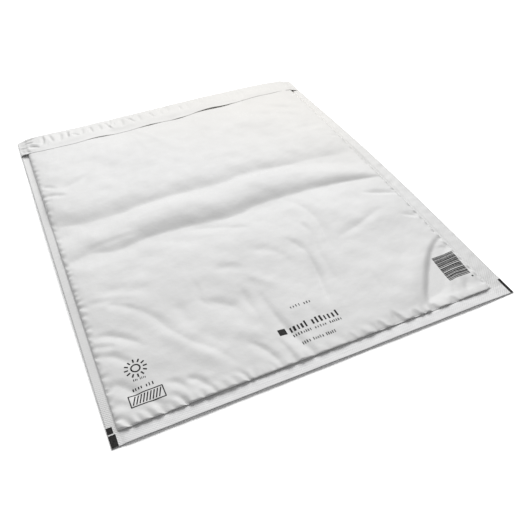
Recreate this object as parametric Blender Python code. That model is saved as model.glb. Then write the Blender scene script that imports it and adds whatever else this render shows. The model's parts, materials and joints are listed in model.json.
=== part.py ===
"""A padded mailing envelope, closed and lying on its back: film over bubble lining, welded into one piece.

Metres, +Z up. X runs across the envelope and Y along it, from the welded bottom strip at -Y to the
folded-over flap at +Y. The origin is on the surface that it lies on, at the middle of its outline.
The solid is a loft of closed sections, each of them a cut along Y at one place across the width.
"""

import bmesh
import bpy
import numpy as np

# Outline of the closed envelope
WIDTH = 0.370
LENGTH = 0.480
FAR_CORNER_RADIUS = 0.006

# Welded margins round the pocket, measured in from the outline
LEFT_SEAL = 0.0080
RIGHT_SEAL = 0.0125
BOTTOM_STRIP = 0.0130
SEAL_THICKNESS = 0.0006
STRIP_THICKNESS = 0.0015
SEAL_CLEARANCE = 0.0003

# How far the padding holds the side seals off the table, at the middle of the length
LEFT_EDGE_LIFT = 0.0012
LEFT_WELD_LIFT = 0.0045
RIGHT_WELD_LIFT = 0.0050
RIGHT_EDGE_LIFT = 0.0055

# Padding: its full height, and how far in from a weld it reaches that height
PAD_HEIGHT = 0.0118
SIDE_SHOULDER = 0.034
BOTTOM_SHOULDER = 0.022
UNDERSIDE_SHOULDER = 0.040
FIRST_STEP = 0.0020

# Height of the padding along the envelope: (share of the length from the bottom edge, share of PAD_HEIGHT).
# The two dips are the soft folds that cross it from side to side.
HEIGHT_STATIONS = (
    (0.03, 0.72),
    (0.20, 0.86),
    (0.36, 0.82),
    (0.450, 0.64),
    (0.521, 0.96),
    (0.571, 0.78),
    (0.650, 1.00),
    (0.80, 0.86),
    (0.93, 0.52),
    (1.00, 0.26),
)
CROSS_FOLD_BOW = 0.012
CROSS_FOLD_SWAY = 0.003

# Creases on the face: depth, half width, and points given as shares of half the width and half the length
CREASES = (
    (0.0011, 0.012, ((-0.89, -0.36), (-0.72, -0.30), (-0.56, -0.21), (-0.46, -0.15))),
    (0.0009, 0.007, ((-0.48, -0.13), (-0.29, -0.14), (-0.13, -0.19), (0.02, -0.23))),
    (0.0014, 0.008, ((0.26, -0.11), (0.35, -0.17), (0.40, -0.29), (0.38, -0.42), (0.35, -0.55))),
    (0.0010, 0.007, ((0.21, -0.45), (0.21, -0.56), (0.16, -0.66), (0.13, -0.75))),
    (0.0013, 0.009, ((-0.44, -0.53), (-0.33, -0.57), (-0.27, -0.64), (-0.22, -0.74))),
    (0.0009, 0.007, ((-0.17, -0.46), (-0.10, -0.55), (-0.13, -0.66), (-0.15, -0.78))),
    (0.0026, 0.006, ((0.52, -0.93), (0.59, -0.85), (0.71, -0.75), (0.80, -0.67), (0.91, -0.63))),
    (0.0018, 0.009, ((-0.93, -0.41), (-0.78, -0.47), (-0.64, -0.60), (-0.50, -0.74), (-0.33, -0.95))),
    (0.0012, 0.007, ((-0.93, -0.55), (-0.83, -0.59), (-0.73, -0.65), (-0.66, -0.73))),
    (0.0013, 0.008, ((-0.93, -0.65), (-0.75, -0.73), (-0.60, -0.82), (-0.50, -0.94))),
    (0.0009, 0.010, ((0.39, -0.42), (0.57, -0.44), (0.79, -0.39))),
    (0.0007, 0.010, ((-0.89, 0.43), (-0.72, 0.46), (-0.56, 0.51))),
    (0.0008, 0.012, ((0.47, 0.69), (0.68, 0.61), (0.87, 0.58))),
)
CREASE_SAMPLES = 6
CREASE_END_SHARE = 0.22

# Gathers: where the film is drawn in by a weld it rises and falls along it
GATHER_PITCH = 0.0122
GATHER_JITTER_SHARE = 0.28
BOTTOM_GATHER = 0.0013
BOTTOM_GATHER_REACH = 0.006
SIDE_GATHER = 0.0011
SIDE_GATHER_REACH = 0.005
GATHER_SEED = 11

# Flap, folded over the face along the far edge
FLAP_DEPTH_LEFT = 0.040
FLAP_DEPTH_RIGHT = 0.032
FLAP_THICKNESS = 0.0007
FLAP_GAP = 0.0003
FLAP_CRINKLE = 0.0007
FLAP_FOLD_RADIUS = 0.0030
SLIT_DEPTH = 0.007
# Places where the free edge stands open: (share of half the width, half length of the opening, height)
SLIT_OPENINGS = (
    (-0.50, 0.020, 0.0007),
    (-0.12, 0.022, 0.0009),
    (0.36, 0.036, 0.0016),
    (0.95, 0.012, 0.0010),
    (-0.98, 0.010, 0.0012),
)

# Rows of the loft
FLAP_ROWS = 6
FOLD_ANGLES = (-64.0, -32.0, 0.0, 32.0, 64.0)
STRIP_ROWS = 3
UNDERSIDE_ROWS = 10

FILM_COLOUR = (0.82, 0.82, 0.815, 1.0)
FILM_ROUGHNESS = 0.42

X_LEFT_WELD = -WIDTH / 2 + LEFT_SEAL
X_RIGHT_WELD = WIDTH / 2 - RIGHT_SEAL
Y_BOTTOM_EDGE = -LENGTH / 2
Y_BOTTOM_WELD = Y_BOTTOM_EDGE + BOTTOM_STRIP
Y_FAR_EDGE = LENGTH / 2


def clear_scene():
    for obj in list(bpy.data.objects):
        bpy.data.objects.remove(obj)


def smooth_step(share):
    share = np.clip(share, 0.0, 1.0)
    return share * share * (3.0 - 2.0 * share)


def shoulder(distance, reach):
    """A quarter ellipse: 0 at a weld, where it rises steeply, and 1 from reach inwards."""
    share = np.clip(distance / reach, 0.0, 1.0)
    return np.sqrt(1.0 - (1.0 - share) ** 2)


def gather_marks(start, end, random):
    """Places along a weld where the gathered film is by turns highest and lowest."""
    count = max(4, round(2 * (end - start) / GATHER_PITCH))
    shares = np.arange(count + 1.0)
    shares[1:-1] += random.uniform(-GATHER_JITTER_SHARE, GATHER_JITTER_SHARE, count - 1)
    return start + (end - start) * shares / count


def gather_sizes(count, random):
    """A signed share for each mark: up and down in turn, none at the two ends of the weld."""
    sizes = random.uniform(0.35, 1.0, count) * np.where(np.arange(count) % 2, 1.0, -1.0)
    sizes[[0, -1]] = 0.0
    return sizes


def gather_fade(distance, reach):
    """Nothing at the weld, most at reach, and dying away further in."""
    share = np.clip(distance, 0.0, None) / reach
    return share * np.exp(1.0 - share)


def seal_height(x, y):
    """Height of the welded film's middle: down at both ends of the envelope, held up between them."""
    share = np.clip((y - Y_BOTTOM_EDGE) / LENGTH, 0.0, 1.0)
    places = (-WIDTH / 2, X_LEFT_WELD, X_RIGHT_WELD, WIDTH / 2)
    lift = np.interp(x, places, (LEFT_EDGE_LIFT, LEFT_WELD_LIFT, RIGHT_WELD_LIFT, RIGHT_EDGE_LIFT))
    return SEAL_CLEARANCE + SEAL_THICKNESS / 2 + lift * np.abs(np.sin(np.pi * share)) ** 1.3


def padding_level(x, y):
    """Height of the face over the padding, with its cross folds, before creases and gathers."""
    across = x / (WIDTH / 2)
    bowed = y + CROSS_FOLD_BOW * across**2 + CROSS_FOLD_SWAY * np.sin(2.5 * np.pi * across)
    share = (bowed - Y_BOTTOM_EDGE) / LENGTH
    level = np.full_like(share, HEIGHT_STATIONS[0][1])
    for (low, low_level), (high, high_level) in zip(HEIGHT_STATIONS, HEIGHT_STATIONS[1:]):
        level += (high_level - low_level) * smooth_step((share - low) / (high - low))
    return PAD_HEIGHT * level


def curve_through(points):
    """Points of a Catmull-Rom curve through a crease's own points, in metres."""
    own = np.array(points) * (WIDTH / 2, LENGTH / 2)
    padded = np.vstack([2 * own[0] - own[1], own, 2 * own[-1] - own[-2]])
    samples = []
    for a, b, c, d in zip(padded, padded[1:], padded[2:], padded[3:]):
        for t in np.arange(CREASE_SAMPLES) / CREASE_SAMPLES:
            square_term = 2 * a - 5 * b + 4 * c - d
            cube_term = 3 * b - a - 3 * c + d
            samples.append(0.5 * (2 * b + (c - a) * t + square_term * t**2 + cube_term * t**3))
    return np.array(samples + [own[-1]])


def crease(x, y, depth, half_width, points):
    """How far one crease lowers the face: a soft groove along its curve, tapered at both ends."""
    line = curve_through(points)
    nearest = np.full_like(x, np.inf)
    along = np.zeros_like(x)
    spans = len(line) - 1
    for k in range(spans):
        step = line[k + 1] - line[k]
        t = ((x - line[k][0]) * step[0] + (y - line[k][1]) * step[1]) / (step @ step)
        t = np.clip(t, 0.0, 1.0)
        distance = np.hypot(x - line[k][0] - t * step[0], y - line[k][1] - t * step[1])
        closer = distance < nearest
        nearest = np.where(closer, distance, nearest)
        along = np.where(closer, (k + t) / spans, along)
    taper = smooth_step(along / CREASE_END_SHARE) * smooth_step((1.0 - along) / CREASE_END_SHARE)
    return depth * taper * np.exp(-((nearest / half_width) ** 2))


class Envelope:
    """The surfaces of the envelope, as heights over the table."""

    def __init__(self):
        random = np.random.default_rng(GATHER_SEED)
        self.columns = gather_marks(X_LEFT_WELD, X_RIGHT_WELD, random)
        self.rows = gather_marks(Y_BOTTOM_WELD, Y_FAR_EDGE - FLAP_DEPTH_LEFT, random)
        self.bottom_sizes = gather_sizes(len(self.columns), random)
        self.left_sizes = gather_sizes(len(self.rows), random)
        self.right_sizes = -gather_sizes(len(self.rows), random)
        self.crinkle_sizes = gather_sizes(len(self.columns), random)

    def gathers(self, x, y):
        from_bottom, from_left, from_right = y - Y_BOTTOM_WELD, x - X_LEFT_WELD, X_RIGHT_WELD - x
        bottom = BOTTOM_GATHER * np.interp(x, self.columns, self.bottom_sizes)
        left = SIDE_GATHER * np.interp(y, self.rows, self.left_sizes)
        right = SIDE_GATHER * np.interp(y, self.rows, self.right_sizes)
        return (
            bottom * gather_fade(from_bottom, BOTTOM_GATHER_REACH)
            + left * gather_fade(from_left, SIDE_GATHER_REACH)
            + right * gather_fade(from_right, SIDE_GATHER_REACH)
        )

    def face(self, x, y):
        """The upper surface, from weld to weld and out over the margins."""
        from_bottom, from_left, from_right = y - Y_BOTTOM_WELD, x - X_LEFT_WELD, X_RIGHT_WELD - x
        weld = seal_height(x, y)
        level = padding_level(x, y) - sum(crease(x, y, *one) for one in CREASES)
        inside = (
            shoulder(from_left, SIDE_SHOULDER)
            * shoulder(from_right, SIDE_SHOULDER)
            * shoulder(from_bottom, BOTTOM_SHOULDER)
        )
        in_strip = np.where(from_bottom <= 0.0, 1.0, 0.0)
        between_seals = smooth_step(from_left / FIRST_STEP) * smooth_step(from_right / FIRST_STEP)
        swell = (STRIP_THICKNESS - SEAL_THICKNESS) * in_strip * between_seals
        step_up = (STRIP_THICKNESS - SEAL_THICKNESS) * (1.0 - in_strip) * between_seals
        top = weld + SEAL_THICKNESS / 2 + (level - weld) * inside + swell + step_up * (1.0 - inside)
        in_pocket = (inside > 0.0).astype(float)
        return top + self.gathers(x, y) * in_pocket

    def underside(self, x, y):
        """The lower surface: flat on the table under the padding, rising to the welds."""
        inside = (
            shoulder(x - X_LEFT_WELD, UNDERSIDE_SHOULDER)
            * shoulder(X_RIGHT_WELD - x, UNDERSIDE_SHOULDER)
            * shoulder(y - Y_BOTTOM_WELD, UNDERSIDE_SHOULDER)
        )
        return (seal_height(x, y) - SEAL_THICKNESS / 2) * (1.0 - inside)

    def slit_opening(self, x):
        """How high the flap's free edge stands over the face."""
        opening = np.full_like(x, FLAP_GAP)
        for place, half_length, height in SLIT_OPENINGS:
            away = np.abs(x - place * WIDTH / 2) / half_length
            opening += height * smooth_step(1.0 - away)
        return opening

    def flap_edge(self, x):
        share = (x + WIDTH / 2) / WIDTH
        return Y_FAR_EDGE - FLAP_DEPTH_LEFT + (FLAP_DEPTH_LEFT - FLAP_DEPTH_RIGHT) * smooth_step(share)

    def flap(self, x, y):
        """The flap's upper surface: it follows the face, stands open at its edge, and is crinkled."""
        edge = self.flap_edge(x)
        share = np.clip((y - edge) / (Y_FAR_EDGE - edge), 0.0, 1.0)
        opening = FLAP_GAP + (self.slit_opening(x) - FLAP_GAP) * (1.0 - smooth_step(share / 0.5))
        crinkle = FLAP_CRINKLE * np.interp(x, self.columns, self.crinkle_sizes) * np.sin(np.pi * share)
        return self.face(x, y) + opening + FLAP_THICKNESS + crinkle


def outline_far_edge(x):
    """Y of the far edge, which runs round the two far corners."""
    into_corner = np.clip(abs(x) - (WIDTH / 2 - FAR_CORNER_RADIUS), 0.0, FAR_CORNER_RADIUS)
    return Y_FAR_EDGE - FAR_CORNER_RADIUS + float(np.sqrt(FAR_CORNER_RADIUS**2 - into_corner**2))


def section(envelope, x):
    """One closed cut along Y: points along the underside, round the far fold and back over the face."""
    far_edge = outline_far_edge(x)
    fold_start = far_edge - FLAP_FOLD_RADIUS
    flap_edge = float(envelope.flap_edge(np.array(x)))
    slit_end = flap_edge + SLIT_DEPTH

    def heights(surface, ys):
        return surface(np.full_like(ys, x), ys)

    under_y = np.concatenate(
        [
            [Y_BOTTOM_EDGE + STRIP_THICKNESS / 2, Y_BOTTOM_WELD],
            np.linspace(Y_BOTTOM_WELD, fold_start, UNDERSIDE_ROWS)[1:],
        ]
    )
    under = np.column_stack([under_y, heights(envelope.underside, under_y)])

    over_y = np.linspace(fold_start, flap_edge, FLAP_ROWS)
    over = np.column_stack([over_y, heights(envelope.flap, over_y)])

    fold_middle = (under[-1][1] + over[0][1]) / 2
    fold_half = (over[0][1] - under[-1][1]) / 2
    angles = np.radians(FOLD_ANGLES)
    fold = np.column_stack(
        [fold_start + FLAP_FOLD_RADIUS * np.cos(angles), fold_middle + fold_half * np.sin(angles)]
    )

    slit_y = np.array([flap_edge, slit_end])
    under_flap = np.column_stack([slit_y, heights(envelope.flap, slit_y) - FLAP_THICKNESS])
    under_flap[1][1] = envelope.face(np.array(x), np.array(slit_end)) + FLAP_GAP

    stretch = (flap_edge - Y_BOTTOM_WELD) / (envelope.rows[-1] - Y_BOTTOM_WELD)
    inner_y = Y_BOTTOM_WELD + (envelope.rows[::-1] - Y_BOTTOM_WELD) * stretch
    strip_y = np.linspace(Y_BOTTOM_WELD, Y_BOTTOM_EDGE + STRIP_THICKNESS / 2, STRIP_ROWS)
    face_y = np.concatenate([[slit_end], inner_y[:-1], [Y_BOTTOM_WELD + FIRST_STEP], strip_y])
    face = np.column_stack([face_y, heights(envelope.face, face_y)])

    edge_height = (face[-1][1] + under[0][1]) / 2
    bottom_edge = np.array([[Y_BOTTOM_EDGE, edge_height]])

    loop = np.vstack([under, fold, over, under_flap, face, bottom_edge])
    return [(x, y, z) for y, z in loop]


def column_places(envelope):
    """Places across the width for the sections: the gathers' marks, with closer ones over the margins."""
    edges = [-WIDTH / 2, -WIDTH / 2 + FAR_CORNER_RADIUS / 3, WIDTH / 2 - FAR_CORNER_RADIUS / 3, WIDTH / 2]
    steps = [X_LEFT_WELD + FIRST_STEP, X_RIGHT_WELD - FIRST_STEP]
    return sorted([*edges, *steps, *(float(x) for x in envelope.columns)])


def white_film():
    material = bpy.data.materials.new("white_film")
    material.use_nodes = True
    shader = material.node_tree.nodes["Principled BSDF"]
    shader.inputs["Base Color"].default_value = FILM_COLOUR
    shader.inputs["Roughness"].default_value = FILM_ROUGHNESS
    shader.inputs["Metallic"].default_value = 0.0
    return material


def build_envelope(collection):
    """Lofts the sections into one closed solid."""
    envelope = Envelope()
    mesh_tools = bmesh.new()
    loops = [
        [mesh_tools.verts.new(point) for point in section(envelope, x)]
        for x in column_places(envelope)
    ]
    for here, after in zip(loops, loops[1:]):
        for k in range(len(here)):
            n = (k + 1) % len(here)
            mesh_tools.faces.new((here[k], here[n], after[n], after[k]))
    mesh_tools.faces.new(loops[0])
    mesh_tools.faces.new(loops[-1])
    bmesh.ops.recalc_face_normals(mesh_tools, faces=mesh_tools.faces)

    mesh = bpy.data.meshes.new("envelope")
    mesh_tools.to_mesh(mesh)
    mesh_tools.free()
    mesh.materials.append(white_film())
    mesh.shade_smooth()

    solid = bpy.data.objects.new("envelope", mesh)
    collection.objects.link(solid)
    return solid


def main():
    clear_scene()
    collection = bpy.data.collections.new("padded envelope")
    bpy.context.scene.collection.children.link(collection)
    build_envelope(collection)


main()
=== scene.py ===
"""Looks of the padded envelope: creased film, pressed seals, folded flap, plain print, light and camera.

Everything is in the frame of the CAD part. Lengths are written in millimetres and turned into metres once,
where a mesh, a lamp or the camera is made. Inside the materials, places are in metres.
"""

import json

import bpy
import numpy as np
from mathutils import Matrix, Vector
from mathutils.bvhtree import BVHTree

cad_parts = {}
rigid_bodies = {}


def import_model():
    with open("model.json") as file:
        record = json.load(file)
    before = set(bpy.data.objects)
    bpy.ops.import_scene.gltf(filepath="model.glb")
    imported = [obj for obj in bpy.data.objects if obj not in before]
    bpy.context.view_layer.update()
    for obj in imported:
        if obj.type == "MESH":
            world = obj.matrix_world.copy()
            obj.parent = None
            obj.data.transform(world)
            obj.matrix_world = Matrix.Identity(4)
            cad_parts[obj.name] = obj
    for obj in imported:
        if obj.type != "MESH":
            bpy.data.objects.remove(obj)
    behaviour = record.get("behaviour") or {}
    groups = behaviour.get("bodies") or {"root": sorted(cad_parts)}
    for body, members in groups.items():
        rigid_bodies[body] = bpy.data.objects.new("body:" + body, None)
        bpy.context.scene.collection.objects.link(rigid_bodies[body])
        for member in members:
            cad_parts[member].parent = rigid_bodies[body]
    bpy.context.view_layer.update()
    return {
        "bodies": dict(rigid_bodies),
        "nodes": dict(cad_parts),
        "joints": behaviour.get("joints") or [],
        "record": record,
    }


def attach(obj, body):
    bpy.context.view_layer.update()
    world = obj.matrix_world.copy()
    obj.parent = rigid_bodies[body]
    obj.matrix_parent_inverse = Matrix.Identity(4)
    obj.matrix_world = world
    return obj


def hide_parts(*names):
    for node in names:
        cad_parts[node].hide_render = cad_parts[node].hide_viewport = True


MM = 0.001

# Outline and welds, the same as the solid's. The right weld slants over its run.
HALF_WIDTH = 185.0
HALF_LENGTH = 240.0
LEFT_WELD = -177.0
RIGHT_WELD = 172.5
RIGHT_WELD_NEAR = 169.5
RIGHT_WELD_FAR = 175.5
RIGHT_WELD_RUN = 430.0
BOTTOM_WELD = -227.0
FILM = 0.6
CLEARANCE = 0.3

# How far the padding lifts the left edge, the two welds and the right edge in the middle of the length,
# and how far the near strip is lifted between its corners
EDGE_LIFTS = (2.5, 3.2, 5.0, 5.9)
NEAR_LIFT = 0.5

# From this x on, the mesh's columns lean to the right weld
LEAN_FROM = 110.0

# Height of the padding without its folds: (y, height)
PAD_STATIONS = (
    (-226, 3.7),
    (-210, 4.6),
    (-150, 5.8),
    (-66, 8.7),
    (-46, 8.5),
    (-20, 6.8),
    (20, 6.3),
    (90, 7.2),
    (144, 8.8),
    (204, 5.4),
    (240, 4.0),
)

# The two folds that cross the envelope. Each is a valley with a steep far side: the valley's line as (x, y),
# how high the far side climbs as (x, height), and how far behind the valley its crest lies as (x, length).
NEAR_VALLEY = (
    (-186, -28), (-170, -25), (-152, -18), (-141, -22), (-130, -28), (-112, -26), (-98, -20),
    (-80, -20), (-55, -22), (-35, -24), (-8, -28), (8, -26), (24, -20), (45, -19), (70, -20),
    (100, -20), (125, -23), (150, -28), (175, -33),
)
NEAR_CLIMB = (
    (-186, 2.2), (-150, 2.6), (-125, 3.8), (-90, 6.0), (0, 6.4), (60, 6.8), (90, 6.0), (110, 4.7),
    (150, 3.2), (175, 2.3),
)
NEAR_CREST = (
    (-186, 20), (-130, 24), (-100, 30), (-60, 36), (60, 35), (90, 29), (110, 23), (150, 13), (185, 7),
)
FAR_VALLEY = (
    (-180, 40), (-165, 36), (-145, 30), (-120, 30), (-100, 31), (-70, 33), (-30, 35), (20, 34),
    (80, 33), (115, 32), (140, 29), (152, 27), (175, 33),
)
FAR_CLIMB = (
    (-180, 2.8), (-150, 3.8), (-100, 3.7), (-40, 3.4), (40, 3.2), (100, 3.0), (145, 3.0), (175, 2.2),
)
FAR_CREST = ((-180, 32), (180, 32))

# Each fold with the share of its height that stays behind the crest, and the length in which the rest fades
CROSS_FOLDS = (
    (NEAR_VALLEY, NEAR_CLIMB, NEAR_CREST, 0.30, 26.0),
    (FAR_VALLEY, FAR_CLIMB, FAR_CREST, 0.15, 85.0),
)

# Creases in the film: (depth, reach on the left of the line, reach on its right, points). A crease is sharp
# at its line. Left and right are as seen by someone who walks along the points.
CREASES = (
    (1.5, 3.0, 7.0, ((143, -169), (155, -162), (171, -163))),
    (0.9, 3.0, 7.0, ((133, -222), (139, -214), (146, -202))),
    (0.9, 3.0, 7.0, ((146, -224), (151, -215), (159, -205))),
    (1.3, 2.5, 6.0, ((163, -222), (166, -213), (170, -204))),
    (0.5, 6.0, 8.0, ((-164, -20), (-148, -14), (-130, -13), (-112, -12), (-98, -12))),
    (0.7, 6.0, 9.0, ((38, -108), (37, -128), (33, -150), (27, -180), (25, -196))),
    (0.45, 5.0, 8.0, ((48, -62), (54, -84), (50, -112), (47, -150), (46, -176))),
    (0.4, 4.0, 7.0, ((-74, -92), (-73, -112), (-75, -130), (-62, -143))),
    (0.35, 4.0, 8.0, ((86, -140), (80, -165), (78, -190), (74, -214))),
    (0.35, 4.0, 8.0, ((12, -150), (8, -170), (10, -192), (6, -214))),
    (
        1.35,
        8.0,
        18.0,
        (
            (-150, -101), (-130, -115), (-118, -132), (-112, -148), (-101, -167), (-86, -185),
            (-75, -204), (-62, -228),
        ),
    ),
    (0.9, 5.0, 9.0, ((-156, -96), (-147, -100), (-137, -107), (-127, -118))),
    (1.4, 6.5, 10.0, ((-182, -130), (-163, -132), (-152, -139), (-142, -149), (-132, -163))),
    (1.2, 5.5, 9.0, ((-182, -149), (-165, -155), (-156, -164), (-147, -176))),
    (0.7, 4.0, 6.0, ((-182, -140), (-165, -144), (-156, -149))),
    (1.3, 6.5, 9.0, ((-180, -178), (-164, -189), (-156, -201), (-151, -214))),
    (0.8, 4.5, 7.0, ((-180, -200), (-168, -207), (-161, -216))),
    (1.2, 4.6, 8.0, ((-59, -190), (-52, -196), (-46, -206), (-42, -218), (-40, -230), (-38, -248))),
    (0.8, 3.5, 6.0, ((-33, -194), (-30, -210), (-28, -226), (-26, -244))),
    (1.1, 5.0, 7.0, ((-134, -199), (-122, -206), (-117, -219))),
    (1.2, 4.6, 6.0, ((-118, -203), (-106, -211), (-99, -229))),
    (1.0, 4.0, 5.0, ((-149, -210), (-140, -220), (-136, -231))),
    (1.6, 3.6, 8.0, ((184, -72), (167, -66), (148, -58), (132, -51))),
    (1.2, 3.6, 8.0, ((184, -114), (166, -109), (150, -99))),
    (0.9, 10.0, 8.0, ((74, -106), (88, -102), (108, -96), (128, -88), (146, -84))),
    (1.2, 12.0, 7.5, ((27, -190), (31, -164), (35, -144), (38, -118), (39, -100))),
    (1.5, 10.0, 6.5, ((-5, -252), (-10, -230), (-17, -206), (-22, -182), (-24, -158), (-23, -130))),
    (0.9, 9.0, 6.5, ((-36, -172), (-38, -146), (-37, -120))),
    (0.6, 7.0, 6.0, ((46, -138), (52, -108), (57, -90), (53, -72), (44, -58))),
    (1.7, 11.0, 13.0, ((61, -140), (66, -104), (70, -72), (67, -46), (54, -20))),
    (0.7, 7.0, 6.0, ((40, -114), (35, -98), (27, -82))),
    (0.9, 9.0, 12.0, ((-78, -126), (-64, -136), (-51, -148), (-43, -166))),
    (1.0, 12.0, 9.0, ((10, -57), (-10, -46), (-35, -33), (-62, -29))),
    (1.4, 6.0, 6.0, ((-182, 97), (-164, 92), (-150, 83))),
    (1.1, 5.0, 5.0, ((-180, 119), (-168, 112), (-158, 103))),
    (1.1, 4.0, 6.5, ((186, 60), (170, 64), (156, 70))),
)

# The step where the padding ends and the film lies flat in the near right corner: (drop, width, points)
NEAR_CORNER = (
    5.0,
    7.4,
    (
        (93, -246), (102, -227), (115, -207), (126, -193), (135, -180), (145, -167), (156, -156),
        (167, -149), (179, -147),
    ),
)

# Soft forms in the film: (rise, half width, points). A rise below zero is a hollow.
SOFT_FORMS = (
    (
        1.3,
        10.0,
        ((-146, -106), (-130, -124), (-118, -146), (-104, -170), (-88, -192), (-74, -212), (-66, -226)),
    ),
    (-1.3, 13.0, ((-158, -82), (-132, -72), (-110, -58), (-95, -45), (-84, -32))),
    (-1.0, 9.0, ((-166, -76), (-144, -81), (-122, -89), (-98, -94))),
    (-0.7, 5.0, ((-176, -91), (-160, -91), (-140, -97), (-124, -107))),
    (-0.5, 7.0, ((-80, -32), (-66, -43), (-52, -50))),
    (0.8, 9.0, ((-64, -172), (-52, -182), (-34, -192))),
    (-0.7, 6.0, ((-95, -118), (-95, -138), (-92, -156))),
    (-0.9, 9.0, ((-92, -160), (-80, -174), (-70, -188))),
    (-0.7, 6.0, ((-54, -98), (-38, -98), (-18, -111))),
    (-0.6, 6.0, ((-16, -84), (4, -91), (16, -106), (20, -130))),
    (0.7, 6.0, ((-30, -110), (-16, -127), (-2, -144))),
    (0.6, 6.0, ((90, -30), (92, -60), (84, -88))),
    (-1.1, 6.0, ((178, -164), (162, -166), (146, -173))),
    (0.9, 5.0, ((154, -188), (148, -204), (140, -222))),
    (1.1, 12.0, ((80, -234), (94, -212), (107, -194), (120, -180), (132, -167), (144, -152), (156, -140))),
    (0.6, 5.0, ((-50, 204), (-46, 187), (-39, 174), (-31, 158), (-22, 128))),
    (0.4, 4.5, ((-52, 190), (-50, 160), (-46, 130))),
    (-1.2, 9.0, ((80, 165), (108, 153), (132, 140), (158, 127))),
    (-1.2, 7.5, ((110, 186), (130, 166), (146, 154), (166, 137))),
    (-1.1, 6.5, ((-164, 94), (-146, 103), (-128, 111), (-110, 126))),
    (-1.0, 18.0, ((-150, 150), (-110, 128), (-80, 104))),
    (-0.8, 7.0, ((122, 99), (146, 98), (176, 94))),
)

# The flap's free edge and the fold at the far edge: (x, y)
FLAP_EDGE = (
    (-185, 205),
    (-174, 199.5),
    (-165, 197),
    (-150, 196.5),
    (-90, 195),
    (-25, 195),
    (10, 196),
    (50, 199),
    (90, 202),
    (140, 205),
    (185, 206),
)
FAR_EDGE = (
    (-185, 240),
    (-168, 239.5),
    (-140, 237),
    (-100, 236),
    (-20, 236.4),
    (15, 239.3),
    (60, 240),
    (150, 239.6),
    (185, 239),
)

# Waves all over the film: (height, wavelength, seed)
FILM_WAVES = (
    (0.35, 70.0, 1),
    (0.14, 27.0, 2),
    (0.04, 11.0, 14),
)


def smooth(share):
    share = np.clip(share, 0.0, 1.0)
    return share * share * (3.0 - 2.0 * share)


def ellipse(distance, reach):
    share = np.clip(distance / reach, 0.0, 1.0)
    return np.sqrt(1.0 - (1.0 - share) ** 2)


def ripples(x, y, wavelength, seed, waves=9):
    """Smooth uneven waves of about one wavelength, mostly between -1.5 and 1.5."""
    random = np.random.default_rng(seed)
    total = np.zeros_like(x)
    for _ in range(waves):
        angle = random.uniform(0.0, np.pi)
        length = wavelength * random.uniform(0.7, 1.5)
        phase = random.uniform(0.0, 2.0 * np.pi)
        total += np.sin(2.0 * np.pi * (x * np.cos(angle) + y * np.sin(angle)) / length + phase)
    return total / np.sqrt(waves)


def right_weld(y):
    """The x of the right weld, which slants."""
    share = np.clip((y - BOTTOM_WELD) / RIGHT_WELD_RUN, 0.0, 1.0)
    return RIGHT_WELD_NEAR + (RIGHT_WELD_FAR - RIGHT_WELD_NEAR) * share


def lean_to_weld(x, y):
    """Moves the columns beside the right seal, so that one of them runs along its slanting weld."""
    weld = right_weld(y)
    inner = x + (weld - RIGHT_WELD) * smooth((x - LEAN_FROM) / (RIGHT_WELD - LEAN_FROM))
    outer = weld + (x - RIGHT_WELD) * (HALF_WIDTH - weld) / (HALF_WIDTH - RIGHT_WELD)
    return np.where(x <= RIGHT_WELD, inner, outer)


def seal_height(x, y):
    """Height of the middle of the welded film, lifted in the middle of the length."""
    share = np.clip((y + HALF_LENGTH) / (2 * HALF_LENGTH), 0.0, 1.0)
    lift = np.interp(x, (-HALF_WIDTH, LEFT_WELD, RIGHT_WELD, HALF_WIDTH), EDGE_LIFTS)
    mottle = 0.12 * ripples(x, y, 13.0, 21) * smooth((x - right_weld(y)) / 3.0)
    near_end = 1.0 - smooth((y + HALF_LENGTH) / 70.0)
    near_lift = NEAR_LIFT * smooth((HALF_WIDTH - np.abs(x)) / 24.0) * near_end
    cock = 0.4 + 0.6 * np.clip((BOTTOM_WELD - y) / 13.0, 0.0, 1.0)
    return CLEARANCE + FILM / 2 + lift * np.abs(np.sin(np.pi * share)) ** 1.3 + near_lift * cock + mottle


def rounded(x, points, spread=1.0):
    """A line through the points, with its corners rounded off."""
    places, values = zip(*points)
    shifts = np.linspace(-12.0, 12.0, 9) * spread
    return sum(np.interp(x + shift, places, values) for shift in shifts) / len(shifts)


def cross_fold(x, y, valley, heights, crests, stays, reach):
    """What one cross fold adds: steepest just behind its valley, rounded at its crest, then fading."""
    back = y - rounded(x, valley, 0.5) + 1.2
    height = rounded(x, heights)
    crest = rounded(x, crests)
    t = np.linspace(0.0, 1.0, 80)
    slope = (1.0 - np.exp(-10.5 * t)) * (1.0 - t) ** 1.3
    climb = np.concatenate([[0.0], np.cumsum(slope[1:] + slope[:-1])])
    rise = np.interp(back / crest, t, climb / climb[-1])
    return height * rise * (1.0 - (1.0 - stays) * smooth((back - crest) / reach))


def pad_level(x, y):
    """Height of the padding with its two cross folds."""
    level = np.full_like(y, float(PAD_STATIONS[0][1]))
    for (low, low_level), (high, high_level) in zip(PAD_STATIONS, PAD_STATIONS[1:]):
        level += (high_level - low_level) * smooth((y - low) / (high - low))
    for fold in CROSS_FOLDS:
        level += cross_fold(x, y, *fold)
    return level


def curve_through(points, steps=8):
    """Close points along a smooth curve through the given ones."""
    own = np.array(points, dtype=float)
    padded = np.vstack([2 * own[0] - own[1], own, 2 * own[-1] - own[-2]])
    samples = []
    for a, b, c, d in zip(padded, padded[1:], padded[2:], padded[3:]):
        for t in np.arange(steps) / steps:
            square_term = 2 * a - 5 * b + 4 * c - d
            cube_term = 3 * b - a - 3 * c + d
            samples.append(0.5 * (2 * b + (c - a) * t + square_term * t**2 + cube_term * t**3))
    return np.array(samples + [own[-1]])


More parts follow.
